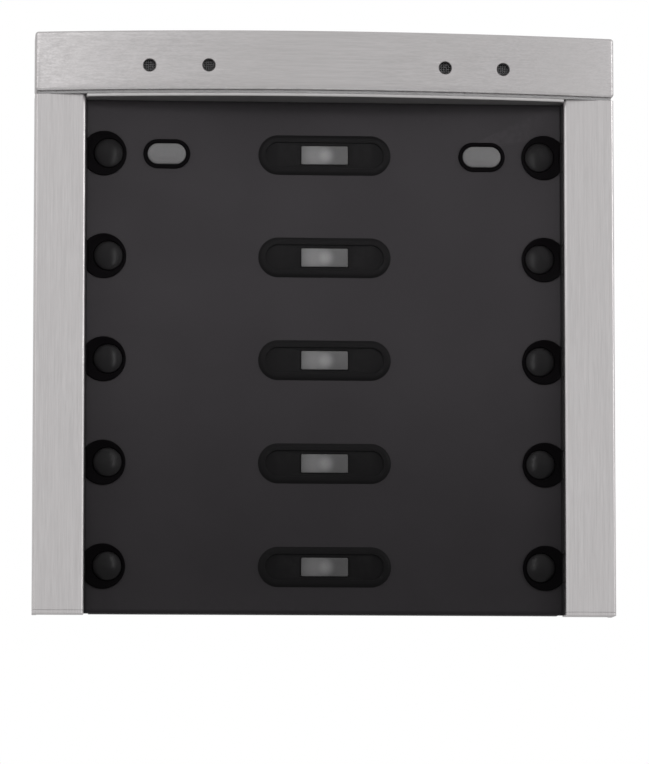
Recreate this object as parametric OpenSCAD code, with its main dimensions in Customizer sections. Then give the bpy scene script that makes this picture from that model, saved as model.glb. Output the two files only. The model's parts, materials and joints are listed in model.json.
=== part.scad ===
// Door intercom panel: ten call buttons, five lit name windows, two service buttons
// and a speech unit behind the header, on a flush box.
// The origin is the middle of the four wall fixings, on the outer back face of the flush
// box. X runs to the right as a visitor sees it, Z runs up, and the front faces -Y.
// "Depth" always means the distance in front of that back face.

/* [Panel] */
// Width of the panel
panel_w = 240; // [230:1:280]
// Height of the panel at its corners
panel_h = 240; // [234:1:270]
// Width of each side rail
rail_w = 21.1; // [19:0.1:26]
// How far the rails stand proud of the wall
rail_proud = 14; // [12:0.5:18]
// How far the face plate stands proud of the wall
plate_proud = 8; // [7:0.5:10]
// Radius of a rail's inner front edge
rail_inner_r = 1.6; // [0.8:0.1:1.8]
// Radius of a rail's outer front edge
rail_outer_r = 1.2; // [0.6:0.1:1.8]
// Width of the black sealing strip beside the face plate
gasket_w = 0.7; // [0.6:0.1:1.8]
// How far that strip climbs the rail above the face plate
gasket_rise = 2.6; // [1:0.1:3.5]

/* [Header] */
// Height of the header bar
header_h = 24.6; // [22:0.1:28]
// How far the header's ends stand in front of the rails
header_lip = 0.5; // [0.2:0.1:2]
// How far the header bows forward in the middle
header_bow = 10.8; // [4:0.1:14]
// Shadow joint between the header and what is below it
joint_gap = 1.2; // [0.6:0.1:1.6]
// Set-back of the seal in that joint
joint_setback = 1; // [0.6:0.1:2]
// Height of the bright trim strip under the joint
trim_h = 1.5; // [0.8:0.1:2]
// Diameter of a sound port
port_d = 5; // [3:0.1:6]
// Middle of each pair of sound ports to the header's end
port_inset = 59; // [56:0.25:68]
// Spacing of the two ports of a pair
port_pitch = 24.3; // [18:0.1:26]
// Height of the ports above the header's lower edge
port_rise = 10.1; // [9:0.1:12]

/* [Call buttons] */
// Height of the lowest row above the panel's lower edge
row_bottom = 19.8; // [18:0.1:24]
// Middle of the top row below the trim strip
row_drop = 22.1; // [21:0.1:26]
// Diameter of a call button
cap_d = 12; // [10:0.1:12.4]
// Height of its domed front
cap_dome = 2.4; // [1:0.1:3.5]
// How far its dome stands proud of the face plate
cap_proud = 3.2; // [2.6:0.1:5]
// How far each button sits inward of the middle of its bezel
cap_shift = 1.9; // [0.5:0.1:2.2]
// Diameter of a button bezel
bezel_d = 18.6; // [17.6:0.1:19]
// Middle of a bezel to the inner edge of its rail
bezel_inset = 7.6; // [7:0.1:10]
// How far a bezel's rim stands proud of the face plate
bezel_rim = 0.8; // [0.5:0.1:1.4]
// Depth of a bezel's dish at its middle
bezel_dish = 0.75; // [0.2:0.05:0.9]
// Travel of every button
travel = 1.2; // [0.5:0.1:1.6]

/* [Name windows] */
// Length of a name window housing
window_l = 54.9; // [46:0.1:60]
// Height of a name window housing
window_h = 16.6; // [15:0.1:19]
// How far its rim stands proud of the face plate
window_rim = 1; // [0.6:0.1:1.4]
// Width of the flat crest of its rim
window_flat = 0.4; // [0.3:0.1:0.6]
// Width of the slope that climbs to that crest
window_bevel = 2.6; // [1.4:0.1:2.7]
// Depth of its floor below the crest
window_recess = 0.5; // [0.3:0.1:0.9]
// Width of the lit lens
lens_w = 19.3; // [14:0.1:26]
// Height of the lit lens
lens_h = 7.7; // [5:0.1:8]
// How far the lens stands out of that floor
lens_rise = 0.3; // [0.1:0.1:0.6]

/* [Service buttons] */
// Middle of a service button to the inner edge of its rail
service_inset = 33.5; // [32:0.1:40]
// Length of a service button
service_l = 15.8; // [12:0.1:17]
// Height of a service button
service_h = 8.6; // [6:0.1:9]
// How far it stands proud of the face plate
service_proud = 1.3; // [0.8:0.1:3]
// Width of its bezel
service_rim = 1.8; // [1.5:0.05:2.4]
// How far the bezel's rim stands proud of the face plate
service_rise = 0.6; // [0.3:0.1:1]

/* [Sheet and wall thicknesses] */
// Wall of the header and the rails
frame_wall = 2; // [1.6:0.1:2.4]
// Back wall of a rail, which its screws hold
rail_back = 3; // [2:0.1:4]
// Face plate
plate_t = 2; // [1.2:0.1:2.2]
// Radius of the bend at its lower edge
bend_r = 2; // [0.5:0.1:2]
// Chassis frame
chassis_t = 1.5; // [1:0.1:1.8]
// Foam seal against the wall
seal_t = 1.5; // [1.5:0.1:2]
// Flush box
box_wall = 1.5; // [1:0.1:2.5]
// Rear cover
cover_wall = 1.8; // [1.2:0.1:2.4]
// Circuit board
board_t = 1.6; // [1:0.1:2]
// End caps of the rails
end_cap_t = 1.5; // [1:0.1:2.5]

/* [Behind the panel] */
// Depth of the flush box in the wall
box_depth = 42; // [38:1:60]
// How far the panel overlaps the flush box all round
box_overlap = 5; // [4:0.5:6]
// Spacing of the wall fixings
fixing_pitch = 160; // [120:1:180]
// Diameter of a wall fixing hole
fixing_d = 5.5; // [4:0.1:7]
// Hole in the top of the flush box for the cable grommet
cable_hole_d = 20; // [16:0.5:26]
// Bore of the cable grommet
cable_bore_d = 12; // [8:0.5:13]
// Face plate to circuit board
standoff_l = 10; // [9.5:0.1:12]
// Depth of the rear cover behind the chassis
cover_depth = 20; // [16:0.5:26]
// Length of the loudspeaker
speaker_l = 40; // [30:0.5:40]
// Height of the loudspeaker
speaker_h = 14; // [10:0.5:15]
// Diameter of the microphone capsule
mic_d = 9.7; // [6:0.1:9.7]

/* [Hidden] */
$fn = 72;
rows = 5;
arc_steps = 32;         // straight stretches along each bowed edge
eps = 0.01;             // how far a cutter runs past the face that it cuts
over = 1;               // how far it runs out into the open

// Clearances
slide_gap = 0.15;       // round a button in its bezel
fit_gap = 0.15;         // round a piece that is set into another
rest_gap = 0.1;         // between pieces that meet without being clamped
plate_gap = 0.4;        // under and beside the face plate's return
return_gap = 0.2;       // behind and above that return
screw_gap = 0.05;       // round a screw
cover_gap = 0.4;        // between the rear cover and the chassis
frame_gap = 0.4;        // between the chassis and the skirt round it
hook_gap = 0.3;         // round the hooks behind the box's lips
board_gap = 0.8;        // round the circuit board
carrier_gap = 0.8;      // round the speech carrier

// Screws
screw_r = 1.5;
head_r = 2.75;
head_t = 1.4;           // low screw heads, thinner than the foam seal
screw_bite = 2.5;       // how deep a frame screw goes into its rail, boss or pillar
small_screw_r = 1.25;
small_head_r = 2.1;
small_head_t = 1.3;
box_screw_r = 2;
box_head_r = 3.5;
box_head_t = 2.2;
box_screw_end = 2;      // how far a box screw comes through its lug
board_head_t = 2;
board_bite = 5;         // how deep a board screw goes into its standoff

half_w = panel_w / 2;
half_h = panel_h / 2;
wall_plane = box_depth;
chassis_back = wall_plane + seal_t;
chassis_front = chassis_back + chassis_t;
plate_front = wall_plane + plate_proud;
plate_back = plate_front - plate_t;
rail_front = wall_plane + rail_proud;
rail_inner = half_w - rail_w;
plate_half_w = rail_inner - gasket_w;
plate_seat = 1;                         // width of the plate's edge on the rail's foot
foot_w = gasket_w + plate_seat;
gasket_lip_t = 0.5;                     // thickness of the strip on the rail's inner face
spigot_l = 6;                           // how far an end cap reaches into its rail
header_end = rail_front + header_lip;
header_bottom = half_h - header_h;
rail_top = header_bottom - joint_gap;
trim_bottom = rail_top - trim_h;
plate_bottom = plate_gap - half_h;
port_z = header_bottom + port_rise;
port_pair_x = half_w - port_inset;
row_pitch = (trim_bottom - row_drop + half_h - row_bottom) / (rows - 1);

// Buttons and bezels
bezel_x = rail_inner - bezel_inset;
bezel_edge = 0.4;                       // flat on the bezel's rim, outside its dish
cap_x = bezel_x - cap_shift;
cap_r = cap_d / 2;
sleeve_wall = 0.9;
sleeve_r = cap_r + slide_gap + sleeve_wall;
sleeve_l = 3.6;                         // sleeve behind the face plate
sleeve_back = plate_back - sleeve_l;
flange_t = 1;                           // flange that keeps a button in its bezel
flange_front = sleeve_back - rest_gap;
flange_back = flange_front - flange_t;
cap_shoulder = plate_front + cap_proud - cap_dome;
service_x = rail_inner - service_inset;
service_wall = 0.7;                     // sleeve that a service button slides in
service_chamfer = 0.6;

// Name windows
window_floor = plate_front + window_rim - window_recess;
housing_floor_t = 3.5;                  // from that floor to the housing's back face
housing_back = window_floor - housing_floor_t;
housing_step = 0.9;                     // rim outside the housing's hole in the plate
window_edge = 0.3;                      // upright edge round the housing, below its slope
lens_gap = 0.1;
lens_flange = 1.2;                      // flange that keeps a lens in its housing
lens_flange_t = 1;
light_wall = 1.1;                       // wall of the box that leads the light to the lens
light_gap = 0.3;                        // between that box and the circuit board
card_t = 0.3;

// Rear cover, circuit board and mats
cover_margin = 1.5;                     // above the top row of bezels
cover_half_w = cap_x + sleeve_r + slide_gap + cover_wall;
cover_top = row_z(rows) + bezel_d / 2 + cover_margin;
cover_bottom = row_z(1) - sleeve_r - slide_gap;
cover_low = cover_bottom - cover_wall;
cover_high = cover_top + cover_wall;
cover_back = chassis_back - cover_depth;
opening_half_w = cover_half_w + cover_gap;
opening_top = cover_high + cover_gap;
opening_bottom = cover_low - cover_gap;
cover_flange = 4;                       // side flanges, which the cover screws hold
end_flange = 1.2;                       // top and bottom flanges
cover_flange_t = 1.4;
board_front = plate_back - standoff_l;
board_back = board_front - board_t;
board_half_w = cover_half_w - cover_wall - board_gap;
board_top = cover_top - board_gap;
board_bottom = cover_bottom + board_gap;
standoff_r = 2.5;
standoff_offset = 17.5;                 // outside the ends of the name windows
standoff_x = window_l / 2 + standoff_offset;
led_l = 3.5;
led_w = 2.8;
led_t = 1.9;
led_inset = 4.25;                       // middle of a backlight from the end of its lens
mat_t = 1.2;
mat_edge = 0.4;                         // mat outside the buttons
dome_wall = 1;
dome_taper = 1;
dome_spare = 1.5;                       // hollow under a dome, past the button's travel

// Terminal block
poles = 6;
pole_pitch = 10;
pole_l = 6;
pole_w = 5;
pole_depth = 6;
terminal_h = 12;
terminal_gap = 1;                       // round the block in the rear cover
terminal_setback = 0.5;                 // behind the rear cover's outer face

// Flush box
box_half_w = half_w - box_overlap;
box_half_h = half_h - box_overlap;
seal_inner = 4;                         // overlap of the seal and the flush box's rim
seal_edge = 0.5;                        // between the seal's and the chassis's outer edges
chassis_half_w = half_w - frame_wall - frame_gap;
chassis_top = half_h - frame_wall - frame_gap;
chassis_bottom = plate_bottom + plate_t + return_gap;
screw_rise = 10;
screw_z = header_bottom + screw_rise;   // row of screws inside the header
screw_pitch = 14;                       // between the box screws and the frame screws
frame_screw_x = (cover_half_w + cover_flange + box_half_w - seal_inner) / 2;
box_screw_x = frame_screw_x - screw_pitch;
lip_l = 12;                             // lips that the hooks hang on, in the lower corners
lip_h = 5;
lip_top = box_wall - box_half_h + lip_h;
hook_w = 7;
hook_top = lip_top + hook_gap + chassis_t;
hook_front = wall_plane - box_wall - hook_gap;
hook_bottom = box_wall - box_half_h + hook_gap;
boss_r = 3.2;
boss_hole = 8;
pillar_drop = 2.6;                      // below the trim strip
pillar_r = 3;
pillar_pitch = 50;
lug_setback = 2;                        // behind the wall plane
lug_front = wall_plane - lug_setback;
lug_t = 3;
lug_half_w = 6;
lug_drop = 5;
cable_inset = 55;                       // cable hole, from the side of the box
cable_x = box_half_w - cable_inset;
cable_depth = 20;
grommet_lip = 1.8;
grommet_lip_t = 2;
groove_t = 0.5;                         // groove round a knock-out
groove_w = 0.8;

// Speech unit
duct_l = port_pitch + port_d + 1;       // sound slot in front of each pair of ports
duct_h = port_d + 1;
duct_depth = 3;
carrier_wall = 1.5;
carrier_half_w = port_pair_x + max(speaker_l, duct_l) / 2 + fit_gap + carrier_wall;
carrier_front = header_end + bow(carrier_half_w) - frame_wall - carrier_gap;
carrier_bottom = header_bottom + frame_wall + carrier_gap;
carrier_top = half_h - frame_wall - carrier_gap;
carrier_z = (carrier_bottom + carrier_top) / 2;
speaker_face = carrier_front - duct_depth;
speaker_rim_t = 3;
speaker_t = 5.5;
speaker_edge = 1.5;                     // frame round the cone
cone_depth = 1.2;
magnet_l = 24;
boot_r = mic_d / 2 + 1.5;
boot_back = speaker_face - 6;
capsule_front = speaker_face - 0.8;
mesh_t = 0.5;
mesh_edge = 2;                          // mesh outside its ports

// Rows are counted from the bottom, 1 to 5.
function row_z(row) = row_bottom - half_h + (row - 1) * row_pitch;

// Radius of an arc from its half chord and its rise
function arc_radius(half, rise) = (half * half + rise * rise) / (2 * rise);

// Rise of an arc over its chord at x
function arc_rise(x, half, rise) =
    let (r = arc_radius(half, rise)) sqrt(r * r - x * x) - r + rise;

// How far the header's front stands in front of its ends at x
function bow(x) = arc_rise(x, half_w, header_bow);

// Outline in X and depth from depth d0 to the header's front, w to each side
function bowed(w, d0, back) = concat([[-w, d0], [w, d0]], front_line(w, back));

// Points of the header's front, from +w to -w, set back by "back"
function front_line(w, back) =
    [for (i = [0:arc_steps]) let (x = w * (1 - 2 * i / arc_steps)) [x, header_end + bow(x) - back]];

// An outline in X and Z, made solid from depth d0 forward to depth d1
module slab(d0, d1) {
    translate([0, -d0, 0]) rotate([90, 0, 0]) linear_extrude(d1 - d0) children();
}

// An outline in X and depth, made solid from z0 up to z1
module plan(z0, z1) {
    translate([0, 0, z0]) linear_extrude(z1 - z0) mirror([0, 1]) children();
}

// An outline in Y and Z, made solid from x0 to x1
module across(x0, x1) {
    translate([x0, 0, 0]) rotate([90, 0, 90]) linear_extrude(x1 - x0) children();
}

// A rectangle between two corners
module rect(x0, y0, x1, y1) {
    translate([x0, y0]) square([x1 - x0, y1 - y0]);
}

// What is left of a square corner outside a radius, pointing along sx and sy
module corner_waste(x, y, sx, sy, r) {
    translate([x, y]) difference() {
        translate([sx > 0 ? -r : -eps, sy > 0 ? -r : -eps]) square(r + eps);
        translate([-sx * r, -sy * r]) circle(r);
    }
}

// An outline with round ends, l long and h high over all
module pill(l, h) {
    union() {
        centred(l - h, h);
        for (s = [-1, 1]) translate([s * (l - h) / 2, 0]) circle(h / 2);
    }
}

// A rectangle about the middle
module centred(w, h) {
    square([w, h], center = true);
}

// A pill that narrows by "step" all round between depths d0 and d1, wide end in front
module pill_funnel(l, h, step, d0, d1) {
    half = (l - h) / 2;
    union() {
        for (s = [-1, 1])
            translate([s * half, -d0, 0]) rotate([90, 0, 0])
                cylinder(h = d1 - d0, r1 = h / 2 - step, r2 = h / 2);
        across(-half, half)
            polygon([[-d0, step - h / 2], [-d0, h / 2 - step], [-d1, h / 2], [-d1, -h / 2]]);
    }
}

// A round bar along the depth at x and z
module peg(x, z, d0, d1, r) {
    translate([x, 0, z]) slab(d0, d1) circle(r);
}

// Copies of a piece to both sides
module both_sides() {
    for (side = [0, 1]) mirror([side, 0, 0]) children();
}

// A screw driven forward: its head ends at depth "seat"
module rear_screw(x, z, seat, length, r, r_head, t_head) {
    union() {
        peg(x, z, seat - t_head, seat, r_head);
        peg(x, z, seat, seat + length, r);
    }
}

// ---- Flush box ----

module fixing_holes(d0, d1) {
    for (x = [-1, 1], z = [-1, 1])
        peg(x * fixing_pitch / 2, z * fixing_pitch / 2, d0, d1, fixing_d / 2);
}

// A round knock-out, marked by a groove in the outer face of the top or bottom wall
module knock_out(x, side) {
    translate([x, -cable_depth, side * box_half_h]) difference() {
        cylinder(h = 2 * groove_t, d = cable_hole_d + 2 * groove_w, center = true);
        cylinder(h = 2 * groove_t + over, d = cable_hole_d, center = true);
    }
}

module box_lug(x) {
    slab(lug_front - lug_t, lug_front)
        rect(x - lug_half_w, screw_z - lug_drop, x + lug_half_w, box_half_h - box_wall + eps);
}

module flush_box() {
    color("lightslategray") difference() {
        union() {
            difference() {
                slab(0, wall_plane) rect(-box_half_w, -box_half_h, box_half_w, box_half_h);
                slab(box_wall, wall_plane + eps)
                    rect(box_wall - box_half_w, box_wall - box_half_h,
                         box_half_w - box_wall, box_half_h - box_wall);
            }
            both_sides() slab(wall_plane - box_wall, wall_plane)
                rect(box_half_w - lip_l, eps - box_half_h, box_half_w - eps, lip_top);
            for (s = [-1, 1]) box_lug(s * box_screw_x);
        }
        fixing_holes(-eps, box_wall + eps);
        for (s = [-1, 1])
            peg(s * box_screw_x, screw_z, lug_front - lug_t - eps, lug_front + eps,
                box_screw_r + screw_gap);
        translate([-cable_x, -cable_depth, box_half_h - box_wall - eps])
            cylinder(h = box_wall + 2 * eps, d = cable_hole_d);
        knock_out(cable_x, 1);
        for (s = [-1, 1]) knock_out(s * cable_x, -1);
    }
}

module cable_grommet() {
    neck_r = cable_hole_d / 2 - fit_gap;
    neck_l = box_wall + rest_gap;
    translate([-cable_x, -cable_depth, box_half_h - box_wall / 2])
        color("dimgray") difference() {
            union() {
                for (s = [0, 1]) mirror([0, 0, s])
                    translate([0, 0, neck_l / 2])
                        cylinder(h = grommet_lip_t, r = neck_r + grommet_lip);
                cylinder(h = neck_l + 2 * eps, r = neck_r, center = true);
            }
            cylinder(h = neck_l + 2 * grommet_lip_t + over, d = cable_bore_d, center = true);
        }
}

module wall_seal() {
    color("dimgray") slab(wall_plane, chassis_back) difference() {
        rect(seal_edge - chassis_half_w, chassis_bottom + seal_edge,
             chassis_half_w - seal_edge, chassis_top - seal_edge);
        rect(seal_inner - box_half_w, cover_low - end_flange - cover_gap,
             box_half_w - seal_inner, box_half_h - seal_inner);
    }
}

// ---- Chassis and rear cover ----

// Places of the screws that hold the rails, the header and the plate's pillars
rail_screws = [for (s = [-1, 1], row = [1, 3, 5]) [s * frame_screw_x, row_z(row)]];
header_screws = [for (s = [-1, 1]) [s * frame_screw_x, screw_z]];
pillars = [for (s = [-1:1]) [s * pillar_pitch, trim_bottom - pillar_drop]];
flange_screws = [for (s = [-1, 1], row = [2, 4])
    [s * (cover_half_w + (cover_flange + cover_gap) / 2), row_z(row)]];

// A tab that drops behind a lip of the flush box
module chassis_hook(x) {
    translate([x, 0, 0]) union() {
        slab(hook_front - chassis_t, chassis_back + eps)
            rect(-hook_w / 2, hook_top - chassis_t, hook_w / 2, hook_top);
        slab(hook_front - chassis_t, hook_front)
            rect(-hook_w / 2, hook_bottom, hook_w / 2, hook_top);
    }
}

module chassis_frame() {
    color("gainsboro") difference() {
        union() {
            slab(chassis_back, chassis_front) difference() {
                rect(-chassis_half_w, chassis_bottom, chassis_half_w, chassis_top);
                rect(-opening_half_w, opening_bottom, opening_half_w, opening_top);
            }
            for (s = [-1, 1]) chassis_hook(s * frame_screw_x);
        }
        for (p = concat(rail_screws, header_screws, pillars))
            peg(p[0], p[1], chassis_back - eps, chassis_front + eps, screw_r + screw_gap);
        for (s = [-1, 1])
            peg(s * box_screw_x, screw_z, chassis_back - eps, chassis_front + eps,
                box_screw_r + screw_gap);
        for (p = flange_screws)
            peg(p[0], p[1], chassis_back - eps, chassis_front + eps, small_screw_r + screw_gap);
    }
}

// Outline of the terminal block, between the two lowest rows
module terminal_outline(gap) {
    translate([0, row_z(1) + row_pitch / 2])
        square([poles * pole_pitch + 2 * gap, terminal_h + 2 * gap], center = true);
}

module rear_cover() {
    flange_front = chassis_back - rest_gap;
    color("darkslategray") difference() {
        union() {
            slab(cover_back, chassis_front)
                rect(-cover_half_w, cover_low, cover_half_w, cover_high);
            slab(flange_front - cover_flange_t, flange_front)
                rect(-cover_half_w - cover_flange, cover_low - end_flange,
                     cover_half_w + cover_flange, cover_high + end_flange);
        }
        slab(cover_back + cover_wall, chassis_front + eps)
            rect(cover_wall - cover_half_w, cover_bottom, cover_half_w - cover_wall, cover_top);
        slab(cover_back - eps, cover_back + cover_wall + eps) terminal_outline(terminal_gap);
        for (p = flange_screws)
            peg(p[0], p[1], flange_front - cover_flange_t - eps, chassis_back,
                small_screw_r + screw_gap);
    }
}

module cover_screws() {
    stack = cover_flange_t + rest_gap;
    color("silver") for (p = flange_screws)
        rear_screw(p[0], p[1], chassis_back - stack, stack + chassis_t,
                   small_screw_r, small_head_r, small_head_t);
}

module box_screws() {
    color("silver") for (s = [-1, 1]) {
        union() {
            peg(s * box_screw_x, screw_z, chassis_front, chassis_front + box_head_t, box_head_r);
            peg(s * box_screw_x, screw_z, lug_front - lug_t - box_screw_end, chassis_front,
                box_screw_r);
        }
    }
}

module frame_screws() {
    color("silver") for (p = concat(rail_screws, header_screws, pillars))
        rear_screw(p[0], p[1], chassis_back, chassis_t + screw_bite, screw_r, head_r, head_t);
}

// ---- Header ----

module header_bar() {
    inner = half_w - frame_wall;
    floor_top = header_bottom + frame_wall;
    color("silver") difference() {
        union() {
            difference() {
                plan(header_bottom, half_h) polygon(bowed(half_w, wall_plane, 0));
                plan(floor_top, half_h - frame_wall)
                    polygon(bowed(inner, wall_plane - over, frame_wall));
                slab(wall_plane - over, chassis_front)
                    rect(-inner, header_bottom - over, inner, floor_top + over);
            }
            for (p = header_screws)
                peg(p[0], p[1], chassis_front, header_end + bow(p[0]) - frame_wall / 2, boss_r);
        }
        for (p = header_screws)
            peg(p[0], p[1], chassis_front - over, chassis_front + boss_hole, screw_r + screw_gap);
        for (s = [-1, 1], t = [-1, 1])
            peg(s * port_pair_x + t * port_pitch / 2, port_z, header_end - frame_wall,
                header_end + header_bow + over, port_d / 2);
    }
}

module header_gasket() {
    w = half_w - joint_setback;
    color("dimgray") plan(rail_top, header_bottom)
        polygon(bowed(w, chassis_front, header_lip + joint_setback));
}

module top_trim_strip() {
    color("silver") plan(trim_bottom, rail_top)
        polygon(bowed(rail_inner, plate_front, header_lip));
}

// ---- Rails ----

// A rail's cross-section on the right-hand side
module rail_outline() {
    difference() {
        union() {
            rect(rail_inner, chassis_front, half_w, rail_front);
            rect(half_w - frame_wall, wall_plane, half_w, rail_front - frame_wall);
        }
        corner_waste(half_w, rail_front, 1, 1, rail_outer_r);
        corner_waste(rail_inner, rail_front, -1, 1, rail_inner_r);
    }
}

// The hollow inside it, drawn in by "gap"
module rail_hollow(gap) {
    rect(rail_inner + frame_wall + gap, chassis_front + rail_back + gap,
         half_w - frame_wall - gap, rail_front - frame_wall - gap);
}

module rail() {
    color("silver") difference() {
        plan(end_cap_t - half_h, rail_top) difference() {
            union() {
                rail_outline();
                rect(rail_inner - foot_w, chassis_front, rail_inner + eps, plate_back);
            }
            rail_hollow(0);
        }
        for (p = rail_screws) if (p[0] > 0)
            peg(p[0], p[1], chassis_front - over, chassis_front + rail_back + over,
                screw_r + screw_gap);
        for (row = [1:rows])
            peg(cap_x, row_z(row), chassis_front - over, plate_back + over, sleeve_r + fit_gap);
    }
}

module rail_end_cap() {
    cap_top = end_cap_t - half_h;
    color("silver") union() {
        plan(-half_h, cap_top) rail_outline();
        plan(cap_top - eps, cap_top + spigot_l) rail_hollow(fit_gap);
    }
}

module right_rail() rail();
module left_rail() mirror([1, 0, 0]) rail();
module right_rail_end_cap() rail_end_cap();
module left_rail_end_cap() mirror([1, 0, 0]) rail_end_cap();

// ---- Face plate ----

module housing_hole() {
    pill(window_l - 2 * housing_step, window_h - 2 * housing_step);
}

module service_hole() {
    wall = slide_gap + service_wall + fit_gap;
    pill(service_l + 2 * wall, service_h + 2 * wall);
}

module face_plate() {
    return_half_w = rail_inner - foot_w - plate_gap;
    color("#37353a") difference() {
        union() {
            slab(plate_back, plate_front) difference() {
                rect(-plate_half_w, plate_bottom, plate_half_w, rail_top);
                for (s = [-1, 1], row = [1:rows])
                    translate([s * cap_x, row_z(row)]) circle(sleeve_r + fit_gap);
                for (row = [1:rows]) translate([0, row_z(row)]) housing_hole();
                for (s = [-1, 1]) translate([s * service_x, row_z(rows)]) service_hole();
            }
            slab(wall_plane + return_gap, plate_back + eps)
                rect(-return_half_w, plate_bottom, return_half_w, plate_bottom + plate_t);
        }
        across(-half_w, half_w) corner_waste(-plate_front, plate_bottom, -1, -1, bend_r);
    }
}

module plate_pillars() {
    color("silver") for (p = pillars) difference() {
        peg(p[0], p[1], chassis_front, plate_back, pillar_r);
        peg(p[0], p[1], chassis_front - over, plate_back + over, screw_r + screw_gap);
    }
}

// Black strip down both edges of the plate, climbing the rails' inner faces
module plate_gasket() {
    color("#141414") both_sides() difference() {
        plan(plate_bottom, trim_bottom) union() {
            rect(plate_half_w, plate_back, rail_inner, plate_front);
            rect(rail_inner - gasket_lip_t, plate_front - eps, rail_inner,
                 plate_front + gasket_rise);
        }
        for (row = [1:rows])
            peg(bezel_x, row_z(row), plate_front - eps, plate_front + gasket_rise + over,
                bezel_d / 2 + fit_gap);
    }
}

// ---- Speech unit ----

// Woven mesh that follows the inside of the header behind a pair of ports
module port_mesh() {
    half_l = (port_pitch + port_d) / 2 + mesh_edge;
    half_z = port_d / 2 + mesh_edge;
    back = frame_wall + rest_gap;
    color("#222222") intersection() {
        plan(port_z - half_z, port_z + half_z) difference() {
            polygon(bowed(half_w, wall_plane, back));
            polygon(bowed(half_w, wall_plane - over, back + mesh_t));
        }
        slab(wall_plane, header_end + header_bow)
            rect(port_pair_x - half_l, header_bottom, port_pair_x + half_l, half_h);
    }
}

module microphone_mesh() port_mesh();
module speaker_mesh() mirror([1, 0, 0]) port_mesh();

module speech_carrier() {
    color("#2b2b2b") difference() {
        slab(chassis_front, carrier_front)
            rect(-carrier_half_w, carrier_bottom, carrier_half_w, carrier_top);
        translate([-port_pair_x, 0, carrier_z]) slab(chassis_front - over, speaker_face)
            centred(speaker_l + 2 * fit_gap, speaker_h + 2 * fit_gap);
        for (s = [-1, 1])
            translate([s * port_pair_x, 0, port_z]) slab(speaker_face - eps, carrier_front + over)
                pill(duct_l, duct_h);
        peg(port_pair_x, carrier_z, chassis_front - over, speaker_face, boot_r + fit_gap);
    }
}

module loudspeaker() {
    translate([-port_pair_x, 0, carrier_z]) color("#3a3a3a") difference() {
        union() {
            slab(speaker_face - speaker_rim_t, speaker_face - eps) centred(speaker_l, speaker_h);
            slab(speaker_face - speaker_t, speaker_face - speaker_rim_t + eps)
                centred(magnet_l, speaker_h - 2 * speaker_edge);
        }
        slab(speaker_face - cone_depth, speaker_face)
            pill(speaker_l - 2 * speaker_edge, speaker_h - 2 * speaker_edge);
    }
}

module microphone_boot() {
    color("#1c1c1c") difference() {
        peg(port_pair_x, carrier_z, boot_back, speaker_face - eps, boot_r);
        peg(port_pair_x, carrier_z, boot_back - over, capsule_front, mic_d / 2);
        peg(port_pair_x, carrier_z, capsule_front - eps, speaker_face, mic_d / 4);
    }
}

module microphone_capsule() {
    color("silver") peg(port_pair_x, carrier_z, boot_back, capsule_front - eps,
                        mic_d / 2 - 2 * eps);
}

// ---- Board and keypad ----

standoffs = [for (s = [-1, 1], row = [1, 2, 4]) [s * standoff_x, row_z(row) + row_pitch / 2]];

module main_board() {
    color("darkgreen") difference() {
        slab(board_back, board_front)
            rect(-board_half_w, board_bottom, board_half_w, board_top);
        for (p = standoffs)
            peg(p[0], p[1], board_back - eps, board_front + eps, screw_r + screw_gap);
    }
}

module board_standoffs() {
    color("goldenrod") for (p = standoffs) difference() {
        peg(p[0], p[1], board_front, plate_back, standoff_r);
        peg(p[0], p[1], board_front - over, board_front + board_bite + over,
            screw_r + screw_gap);
    }
}

module board_screws() {
    color("silver") for (p = standoffs)
        rear_screw(p[0], p[1], board_back, board_t + board_bite, screw_r, head_r, board_head_t);
}

module backlight_leds() {
    color("white") for (row = [1:rows], s = [-1, 1])
        translate([s * (lens_w / 2 - led_inset), 0, row_z(row)])
            slab(board_front, board_front + led_t) centred(led_l, led_w);
}

module terminal_block() {
    color("seagreen") difference() {
        slab(cover_back + terminal_setback, board_back) terminal_outline(0);
        for (i = [0:poles - 1])
            translate([(i - (poles - 1) / 2) * pole_pitch, 0, row_z(1) + row_pitch / 2])
                slab(cover_back, cover_back + pole_depth) centred(pole_l, pole_w);
    }
}

// Silicone mat with a hollow dome behind each button
module keypad_mat() {
    half = cap_r + mat_edge;
    dome_r = service_h / 2;
    spots = concat([for (row = [1:rows]) [cap_x, row_z(row)]], [[service_x, row_z(rows)]]);
    color("gray") difference() {
        union() {
            slab(board_front, board_front + mat_t) union() {
                rect(cap_x - half, row_z(1) - half, cap_x + half, row_z(rows) + half);
                rect(service_x - service_l / 2, row_z(rows) - half, cap_x, row_z(rows) + half);
            }
            for (p = spots)
                translate([p[0], eps - board_front - mat_t, p[1]]) rotate([90, 0, 0])
                    cylinder(h = flange_back - board_front - mat_t + eps,
                             r1 = dome_r, r2 = dome_r - dome_taper);
        }
        for (p = spots)
            translate([p[0], eps - board_front, p[1]]) rotate([90, 0, 0])
                cylinder(h = travel + dome_spare,
                         r1 = dome_r - dome_wall, r2 = dome_r - dome_wall - dome_taper);
    }
}

module right_keypad_mat() keypad_mat();
module left_keypad_mat() mirror([1, 0, 0]) keypad_mat();

// ---- Call buttons ----

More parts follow.
